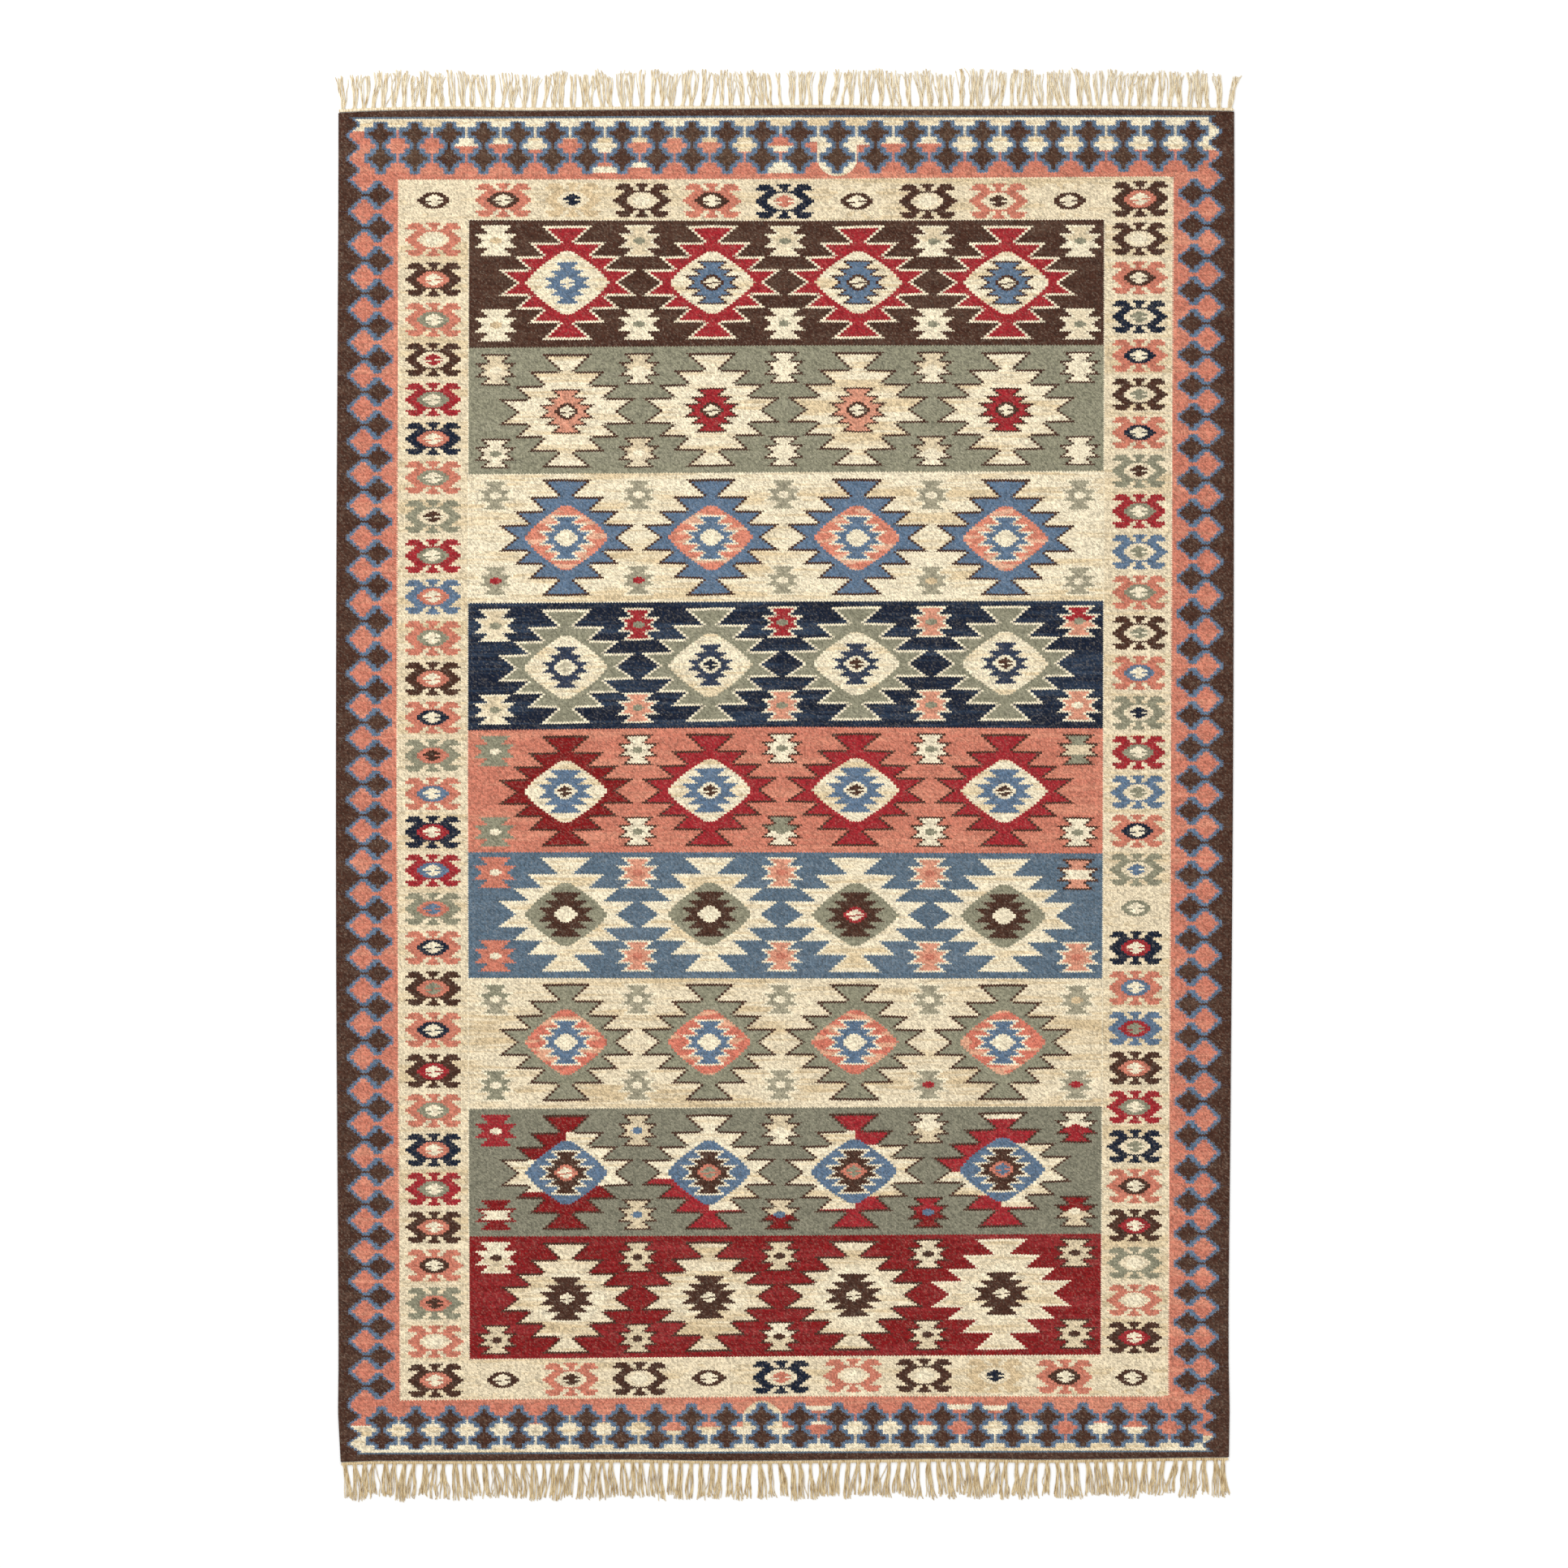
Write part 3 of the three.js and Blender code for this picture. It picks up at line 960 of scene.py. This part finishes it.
def zone_of(level, upright):
    """The part of the pattern between two main lines each way."""
    if level <= 2:
        return "far_end"
    if level >= 14:
        return "near_end"
    if upright == 0:
        return "left_side"
    if upright == 7:
        return "right_side"
    if level == 3:
        return "far_row"
    if level == 13:
        return "near_row"
    if upright == 1:
        return "left_column"
    if upright == 6:
        return "right_column"
    return f"band_{level - 4}"


def figure_places(columns, rows, across, down):
    """For each zone, the two measures that its pattern is drawn from, at every crossing."""
    level = np.array([n + share for n, share in rows])[:, None] + np.zeros_like(across)
    upright = np.array([n + share for n, share in columns])[None, :] + np.zeros_like(across)
    column = np.interp(upright, (2, 3, 4, 5, 6), (FIELD_LEFT, 0, 4, 8, FIELD_RIGHT))
    places = {
        "left_side": (upright, running_number(LEFT_CROSSES, down)),
        "right_side": (LAST_UPRIGHT - upright, running_number(RIGHT_CROSSES, down)),
    }
    for name, crosses, lines in (
        ("far_end", FAR_CROSSES, level),
        ("near_end", NEAR_CROSSES, LAST_LEVEL - level),
    ):
        out = np.interp(lines, END_LINES, END_PLACES) / END_SPAN
        places[name] = (running_number(crosses, across), out)
    for name, table, run, off, aside, size in (
        ("far_row", FAR_ROW, across, 3.5 - level, FAR_ASIDE, BORDER_ROW),
        ("near_row", NEAR_ROW, across, 13.5 - level, NEAR_ASIDE, BORDER_ROW),
        ("left_column", LEFT_COLUMN, down, upright - 1.5, LEFT_ASIDE, BORDER_WIDTH),
        ("right_column", RIGHT_COLUMN, down, upright - 6.5, RIGHT_ASIDE, BORDER_WIDTH),
    ):
        number = running_number(table, run)
        off = off - np.interp(number, *aside) / size
        places[name] = (off, number) if run is down else (number, off)
    stops = (FIELD_LEFT, *range(9), FIELD_RIGHT)
    right_by = np.interp(column, stops, (0, *RIGHT_BY, 0)) / COLUMN
    for band in range(len(BANDS)):
        up = band + 4.5 - level
        inside = 1 - np.clip(abs(up * 2), 0, 1) ** 8
        up_by = np.interp(column, BAND_ENDS, UP_BY[band]) / BAND_HEIGHT
        places[f"band_{band}"] = (column - right_by, up - up_by * inside)
    return places


def zone_materials():
    """The finished material of each zone."""
    sides = side_pattern()
    far = (FAR_GAPS, FAR_PATCHES, FAR_ROUND, FAR_SHIFTS, FAR_FADED)
    near = (NEAR_GAPS, NEAR_PATCHES, NEAR_ROUND, NEAR_SHIFTS, NEAR_FADED, NEAR_LOWER)
    materials = {
        "far_end": end_pattern("kilim_far_end", *far),
        "near_end": end_pattern("kilim_near_end", *near),
        "left_side": sides,
        "right_side": sides,
        "far_row": border_pattern("kilim_far_row", FAR_FIGURES, False),
        "near_row": border_pattern("kilim_near_row", NEAR_FIGURES, False),
        "left_column": border_pattern("kilim_left_column", LEFT_FIGURES, True),
        "right_column": border_pattern("kilim_right_column", RIGHT_FIGURES, True),
    }
    for band in range(len(BANDS)):
        materials[f"band_{band}"] = band_pattern(band)
    return materials


def rim_profile(count):
    """For each line of a grid, how much of the cloth's thickness it has: none on the outline."""
    profile = np.ones(count)
    profile[[0, -1]] = 0
    profile[[1, -2]] = RIM_SHARE
    return profile


def unevenness(across, down):
    """How far the cloth's two faces stray from flat, in millimetres, from slow waves."""
    waves = np.sin(across / 61 + 2 * np.sin(down / 173)) * np.sin(down / 47 + across / 210)
    pull = np.sin(down / 19 + 1.5 * np.sin(across / 97))
    return 0.16 * waves + 0.06 * pull


def cloth_mesh():
    """The woven cloth as one closed mesh, its zones painted by their materials."""
    layout = Layout()
    columns = shares(ACROSS_COUNTS, RIM / SIDE_WIDTH)
    rows = shares(DOWN_COUNTS, RIM / END_ROWS)
    across, down = grid_places(layout, columns, rows)
    x = (layout.left + across) * MM
    y = (layout.far - down) * MM
    body = np.minimum.outer(rim_profile(len(rows)), rim_profile(len(columns)))
    middle = THICKNESS / 2
    wave = unevenness(across, down)
    top = middle + (FACE_HIGH - middle + np.minimum(wave, WAVE_REACH)) * body
    under = middle - (middle - FACE_LOW - np.maximum(wave, -WAVE_REACH) * 0.5) * body
    count = across.size
    numbers = np.arange(count).reshape(across.shape)
    rim = np.zeros(across.shape, bool)
    rim[[0, -1], :] = True
    rim[:, [0, -1]] = True
    under_numbers = np.where(rim, numbers, 0)
    under_numbers[~rim] = count + np.arange((~rim).sum())
    upper = np.stack([x, y, top * MM], -1).reshape(-1, 3)
    lower = np.stack([x, y, under * MM], -1)[~rim]
    vertices = np.concatenate([upper, lower])
    place = np.argwhere(np.ones((len(rows) - 1, len(columns) - 1), bool))
    j, i = place[:, :1], place[:, 1:]
    corner_rows = np.concatenate([j, j + 1, j + 1, j], 1)
    corner_columns = np.concatenate([i, i, i + 1, i + 1], 1)
    faces_up = numbers[corner_rows, corner_columns]
    faces_down = under_numbers[corner_rows, corner_columns][:, ::-1]
    mesh = bpy.data.meshes.new("kilim_cloth_woven")
    mesh.from_pydata(vertices.tolist(), [], np.concatenate([faces_up, faces_down]).tolist())
    paint_zones(mesh, columns, rows, (across, down), place, (corner_rows, corner_columns))
    mesh.shade_smooth()
    return mesh


def paint_zones(mesh, columns, rows, crossings, place, corners):
    """Gives each face its zone's material and the measures that the material's figures need."""
    places = figure_places(columns, rows, *crossings)
    materials = zone_materials()
    names = list(materials)
    for name in names:
        mesh.materials.append(materials[name])
    zones = np.array([names.index(zone_of(rows[j][0], columns[i][0])) for j, i in place])
    corner_rows, corner_columns = corners
    figure = np.zeros((len(place), 4, 2))
    for number, name in enumerate(names):
        chosen = zones == number
        for part in (0, 1):
            figure[chosen, :, part] = places[name][part][corner_rows[chosen], corner_columns[chosen]]
    across, down = crossings
    flat = np.stack([across / CLOTH_WIDTH, 1 - down / CLOTH_LENGTH], -1)
    flat = (flat - flat.min((0, 1))) / (flat.max((0, 1)) - flat.min((0, 1))) * 0.996 + 0.002
    spread = flat[corner_rows, corner_columns]
    for name, part in (("figure", figure), ("OFBake", spread)):
        both = np.concatenate([part, part[:, ::-1]])
        layer = mesh.uv_layers.new(name=name)
        layer.data.foreach_set("uv", both.astype(np.float32).ravel())
    mesh.polygons.foreach_set("material_index", np.concatenate([zones, zones]))


def add_piece(name, mesh):
    """A finished piece, its object at the origin."""
    piece = bpy.data.objects.new(name, mesh)
    bpy.context.scene.collection.objects.link(piece)
    return piece


# The fringes

TASSELS = 90
TASSEL_LENGTH = 48
TASSEL_LENGTH_SPREAD = 4
HEADING_GAP = 0.3  # between the cloth and a heading
HEADING_WIDTH = 4.6
TASSEL_ROOT = 2  # how deep a tassel starts inside the heading
FORK_EVERY = 3  # one tassel in so many has a single lock, and the others have two
FORKED_TIP = 4.1  # half the width of a tassel's loose end, with two locks and with one
SINGLE_TIP = 3.2
TIP_GAP = 1
LOCK_SPLAY = 2.6  # from a tassel's middle to the end of each of its two locks
BOW_SHIFT = 0.8  # how far a tassel bows to one side
ROOT_SHIFT = 0.12
LEAN = 7  # how far the tips lean to one side, in slow waves from tassel to tassel
LEAN_WAVE = 0.41
LEAN_SCATTER = 0.5
END_LEAN = 11  # how far the last tassel of the far end leans out
FAR_STRANDS = 10
NEAR_STRANDS = 12
STRAND_RADIUS = 0.55
FLOOR_GAP = 0.05  # under the lowest strands


def wobble(index, use):
    """A repeatable number from -1 to 1, the same one as the solids were made with."""
    turned = math.sin(index * 12.9898 + use * 78.233) * 43758.5453
    return 2 * (turned - math.floor(turned)) - 1


def tassel_lines(near):
    """Root, tip and fork of every tassel at one end, in millimetres, where the solids have them."""
    edges = outline_of_cloth()
    name = "near" if near else "far"
    out = -1 if near else 1
    places, _ = edges[name]
    left, right = places[0], places[-1]
    lines = []
    reached = -math.inf
    for i in range(TASSELS):
        share = (i + 0.5 + ROOT_SHIFT * wobble(i, 1 + near)) / TASSELS
        forked = i % FORK_EVERY != 0
        half_tip = FORKED_TIP if forked else SINGLE_TIP
        length = TASSEL_LENGTH + TASSEL_LENGTH_SPREAD * wobble(i, 3 + near)
        root_x = left + (right - left) * share
        edge = float(np.interp(root_x, *edges[name]))
        root_y = edge + out * (HEADING_GAP + HEADING_WIDTH - TASSEL_ROOT)
        drift = math.sin(i * LEAN_WAVE + near * 2) + LEAN_SCATTER * wobble(i, 5 + near)
        corner = not near and i == TASSELS - 1
        lean = END_LEAN if corner else LEAN * drift / (1 + LEAN_SCATTER)
        tip_x = max(root_x + lean, reached + TIP_GAP + half_tip)
        reached = tip_x + half_tip
        tip = (tip_x, root_y + out * length)
        lines.append(((root_x, root_y), tip, forked, BOW_SHIFT * wobble(i, 7 + near)))
    return lines


ALONG = (0, 0.05, 0.1, 0.16, 0.23, 0.31, 0.4, 0.49, 0.58, 0.67, 0.76, 0.84, 0.92, 1)
NECK_END = 0.1  # how far along a tassel its neck ends
STRAY_SHARE = 0.1  # the share of strands that wander off by themselves
STRAY_SPREAD = 7
STRAY_SWAY = 4
LOCK_SWAY = 2.6  # how far a lock sways to one side, and how far it winds out and back
LOCK_WINDING = 1.3
END_ORDER = 0.6  # how far a strand's end may change places with its neighbours
END_SPREAD = 5  # from a lock's middle to its outermost strands' ends
ROOT_SPREAD = 2.7  # the same at its root and at the end of its neck
NECK_SPREAD = 2
NECK_HIGH = 2.5  # how high a tassel is at its root, and how much lower at its tip
TIP_DROP = 0.9


def lock_ways(forked, chance):
    """For each lock of a tassel, how far it sways and how far it winds."""
    reaches = (LOCK_SWAY, LOCK_WINDING)
    return [[chance.uniform(-reach, reach) for reach in reaches] for _ in range(1 + forked)]


def strand_points(line, number, count, ways, chance):
    """One strand of a tassel, from inside the heading to its loose end."""
    (root_x, root_y), (tip_x, tip_y), forked, bow = line
    order = number / (count - 1) * 2 - 1
    end_order = order + chance.uniform(-END_ORDER, END_ORDER)
    if forked:
        spread = math.copysign(LOCK_SPLAY, end_order)
        spread += (end_order - math.copysign(0.5, end_order)) * END_SPREAD
        sway, winding = ways[end_order > 0]
    else:
        spread = end_order * END_SPREAD
        sway, winding = ways[0]
    curl = chance.uniform(0.2, 1)
    turns = chance.uniform(1, 2.4)
    if chance.random() < STRAY_SHARE:
        spread += chance.uniform(-STRAY_SPREAD, STRAY_SPREAD)
        curl = chance.uniform(0.8, 2.4)
        sway = chance.uniform(-STRAY_SWAY, STRAY_SWAY)
    phase = chance.uniform(0, 2 * math.pi)
    length = chance.uniform(0.9, 1.03)
    layer = (number * 7 % count) / (count - 1)
    points = []
    for share in ALONG:
        gather = min(share / NECK_END, 1)
        neck = order * (ROOT_SPREAD - (ROOT_SPREAD - NECK_SPREAD) * gather)
        open_out = (max(share - NECK_END, 0) / (1 - NECK_END)) ** 0.8
        side = neck * (1 - open_out) + spread * open_out
        side += curl * open_out * math.sin(phase + 2 * math.pi * turns * share)
        side += (bow + sway) * math.sin(math.pi * share) + winding * math.sin(2 * math.pi * share)
        x = root_x + (tip_x - root_x) * share * length + side
        y = root_y + (tip_y - root_y) * share * length
        room = NECK_HIGH - TIP_DROP * open_out - 2 * STRAND_RADIUS
        lift = (0.15 + 0.85 * layer) * (1 - 0.25 * open_out)
        z = STRAND_RADIUS + FLOOR_GAP + room * lift
        points.append((x, y, z))
    return points


def line_object(name, lines):
    """Open lines in one curve object, from points in millimetres."""
    curve = bpy.data.curves.new(name, "CURVE")
    curve.dimensions = "3D"
    for points in lines:
        spline = curve.splines.new("POLY")
        spline.points.add(len(points) - 1)
        for point, place in zip(spline.points, points):
            point.co = (*(c * MM for c in place), 1)
    return add_piece(name, curve)


class Geometry(Nodes):
    """A Geometry Nodes tree with named inputs for its sizes."""

    def __init__(self, name):
        group = bpy.data.node_groups.new(name, "GeometryNodeTree")
        super().__init__(group)
        self.sizes = {}
        group.interface.new_socket("Geometry", in_out="INPUT", socket_type="NodeSocketGeometry")
        group.interface.new_socket("Geometry", in_out="OUTPUT", socket_type="NodeSocketGeometry")
        self.start = group.nodes.new("NodeGroupInput")
        self.end = group.nodes.new("NodeGroupOutput")

    def size(self, name, value, kind="NodeSocketFloat"):
        """A named input of the tree."""
        item = self.tree.interface.new_socket(name, in_out="INPUT", socket_type=kind)
        self.sizes[item.identifier] = value
        return Value(self, find_socket(self.start.outputs, name))

    def geometry(self):
        """What the modifier's object holds."""
        return Value(self, self.start.outputs["Geometry"])

    def finish(self, result, material):
        """Realises the result and gives it its material."""
        plain = self.node("GeometryNodeRealizeInstances", {}, {"Geometry": result})
        done = self.node("GeometryNodeSetMaterial", {}, {"Geometry": plain, "Material": material})
        self.fill(self.end.inputs["Geometry"], done)

    def mesh_of(self, carrier, name):
        """The plain mesh that the tree makes of an object, which is removed."""
        modifier = carrier.modifiers.new(name, "NODES")
        modifier.node_group = self.tree
        for identifier, value in self.sizes.items():
            modifier[identifier] = value
        graph = bpy.context.evaluated_depsgraph_get()
        mesh = bpy.data.meshes.new_from_object(carrier.evaluated_get(graph))
        bpy.data.objects.remove(carrier)
        mesh.name = name
        return mesh


def yarn_tree(material, thick):
    """A tree that lays a round yarn along every line, and marks where each point of it is."""
    g = Geometry("yarn_along_lines")
    radius = g.size("Yarn radius", thick * MM)
    sides = g.size("Sides", 5, "NodeSocketInt")
    along = g.node("GeometryNodeSplineParameter").output("Length")
    marked = g.node(
        "GeometryNodeStoreNamedAttribute",
        {"data_type": "FLOAT", "domain": "POINT"},
        {"Geometry": g.geometry(), "Name": "yarn_length", "Value": along},
    )
    ring = g.node("GeometryNodeCurvePrimitiveCircle", {}, {"Resolution": sides, "Radius": radius})
    place = g.node("GeometryNodeInputPosition")
    turn = g.node("ShaderNodeVectorMath", {"operation": "NORMALIZE"}, {0: place})
    ring = g.node(
        "GeometryNodeStoreNamedAttribute",
        {"data_type": "FLOAT_VECTOR", "domain": "POINT"},
        {"Geometry": ring, "Name": "yarn_turn", "Value": turn},
    )
    parts = {"Curve": marked, "Profile Curve": ring, "Fill Caps": True}
    g.finish(g.node("GeometryNodeCurveToMesh", {}, parts), material)
    return g


PLY_TURN = 5  # along a strand in which its plies turn once
COTTON = {"Roughness": 0.85, "Specular IOR Level": 0.25}


def cotton_material(name, pale, deep):
    """Plied cotton: two plies that turn along each strand, which goes from pale to deep in places, with
    painted shade darkening the grooves between the plies.
    """
    p = Pattern(name)
    length = p.node("ShaderNodeAttribute", {"attribute_name": "yarn_length"}).output("Fac")
    turn = p.split(p.node("ShaderNodeAttribute", {"attribute_name": "yarn_turn"}).output("Vector"))
    angle = length * (2 * math.pi / (PLY_TURN * MM))
    ply = turn[0] * angle.sine() + turn[1] * angle.maths("COSINE")
    ply_groove_shade = 1 - abs(ply)
    tone = p.noise(p.join(p.x / 1.6, p.y / 14, 9.0), 2.0)
    colour = p.mix((tone * 4 - 1.7 | 0).least(1), daylight(*pale), daylight(*deep))
    # painted shade: the colour is darkened in the grooves between the two plies
    colour = p.shade(colour, 1 - ply_groove_shade * 0.14)
    bump = {"Height": abs(ply), "Strength": 0.5, "Distance": 0.4 * MM}
    return p.finish(colour, bump, COTTON)


TWINE_PITCH = 6.4  # the coils of a heading's two strands
TWINE_ARM = 0.95
TWINE_RADIUS = 1.3
TWINE_HIGH = 1.4
TWINE_RISE = 0.25
TWINE_POINTS = 1100
TWINE_MARGIN = 1.2  # from the cloth's corners


def heading_points(near):
    """The two twined strands of a heading, each a coil along the cloth's edge."""
    places, edges = outline_of_cloth()["near" if near else "far"]
    out = -1 if near else 1
    middle = HEADING_GAP + HEADING_WIDTH / 2
    reach = places[-1] - places[0] - 2 * TWINE_MARGIN
    lines = []
    for strand in (0, 1):
        points = []
        for i in range(TWINE_POINTS + 1):
            x = places[0] + TWINE_MARGIN + reach * i / TWINE_POINTS
            edge = float(np.interp(x, places, edges))
            turn = 2 * math.pi * x / TWINE_PITCH + strand * math.pi
            y = edge + out * (middle + TWINE_ARM * math.cos(turn))
            z = TWINE_HIGH + TWINE_RISE * math.sin(turn)
            points.append((x, y, z))
        lines.append(points)
    return lines


def fringe(near, material):
    """One end's fringe: the twined heading, and ninety tassels of loose strands."""
    name = "fringe_near_cotton" if near else "fringe_far_cotton"
    chance = np.random.default_rng(41 + near)
    count = NEAR_STRANDS if near else FAR_STRANDS
    strands = []
    for line in tassel_lines(near):
        ways = lock_ways(line[2], chance)
        strands += [strand_points(line, k, count, ways, chance) for k in range(count)]
    loose = yarn_tree(material, STRAND_RADIUS).mesh_of(line_object(name, strands), name)
    heading = line_object(name, heading_points(near))
    twined = yarn_tree(material, TWINE_RADIUS).mesh_of(heading, name)
    piece = add_piece(name, loose)
    other = add_piece(name + "_heading", twined)
    with bpy.context.temp_override(active_object=piece, selected_editable_objects=[piece, other]):
        bpy.ops.object.join()
    piece.data.shade_smooth()
    return piece


# The rug's pieces

cloth = add_piece("kilim_cloth_woven", cloth_mesh())
cottons = [
    cotton_material("far_cotton", (266, 252, 220), (214, 184, 134)),
    cotton_material("near_cotton", (246, 223, 178), (176, 142, 92)),
]
fringes = [fringe(near, cottons[near]) for near in (0, 1)]

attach(cloth, "root")
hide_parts("kilim_cloth")
for piece, node in zip(fringes, ("fringe_far", "fringe_near")):
    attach(piece, "root")
    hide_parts(node)

# The studio


def floor():
    """A plain pale floor, wide enough to fill every view."""
    mesh = bpy.data.meshes.new("studio_floor")
    reach = 12
    corners = [(-reach, -reach, 0), (reach, -reach, 0), (reach, reach, 0), (-reach, reach, 0)]
    mesh.from_pydata(corners, [], [(0, 1, 2, 3)])
    material = bpy.data.materials.new("studio_floor")
    material.use_nodes = True
    shader = material.node_tree.nodes["Principled BSDF"]
    shader.inputs["Base Color"].default_value = (0.86, 0.86, 0.855, 1)
    shader.inputs["Roughness"].default_value = 1
    shader.inputs["Specular IOR Level"].default_value = 0
    mesh.materials.append(material)
    piece = add_piece("studio_floor", mesh)


def lamp(name, place, size, power):
    """A square soft light that faces the middle of the rug."""
    data = bpy.data.lights.new(name, "AREA")
    data.size = size
    data.energy = power
    light = bpy.data.objects.new(name, data)
    light.location = place
    direction = -light.location
    light.rotation_euler = direction.to_track_quat("-Z", "Y").to_euler()
    bpy.context.scene.collection.objects.link(light)


def studio():
    """Soft light from all round and from a large window to the upper left."""
    floor()
    world = bpy.data.worlds.new("studio_air")
    world.use_nodes = True
    background = world.node_tree.nodes["Background"]
    background.inputs["Color"].default_value = (1, 1, 1, 1)
    background.inputs["Strength"].default_value = 0.85
    scene = bpy.context.scene
    scene.world = world
    lamp("window", (-2.6, 2.4, 3.2), 3, 110)
    lamp("fill", (2.4, -2, 3.6), 4, 50)
    scene.view_settings.view_transform = "Standard"


FRAME_SIDE = 2.1047  # the side of the photograph's frame, on the rug
FRAME_MIDDLE = (599.7, 904.4)  # the frame's middle, across and down in millimetres


def camera():
    """Straight above the rug, with a long lens that just takes in the photograph's frame."""
    high = 5
    low_corner, high_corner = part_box("kilim_cloth")
    middle_x = low_corner.x + (LEFT_BULGE + FRAME_MIDDLE[0]) * MM
    middle_y = high_corner.y - (FAR_BULGE + FRAME_MIDDLE[1]) * MM
    data = bpy.data.cameras.new("overhead")
    data.sensor_width = 36
    data.lens = data.sensor_width * high / FRAME_SIDE
    data.clip_end = 50
    view = bpy.data.objects.new("overhead", data)
    view.location = (middle_x, middle_y, high)
    bpy.context.scene.collection.objects.link(view)
    bpy.context.scene.camera = view


studio()
camera()
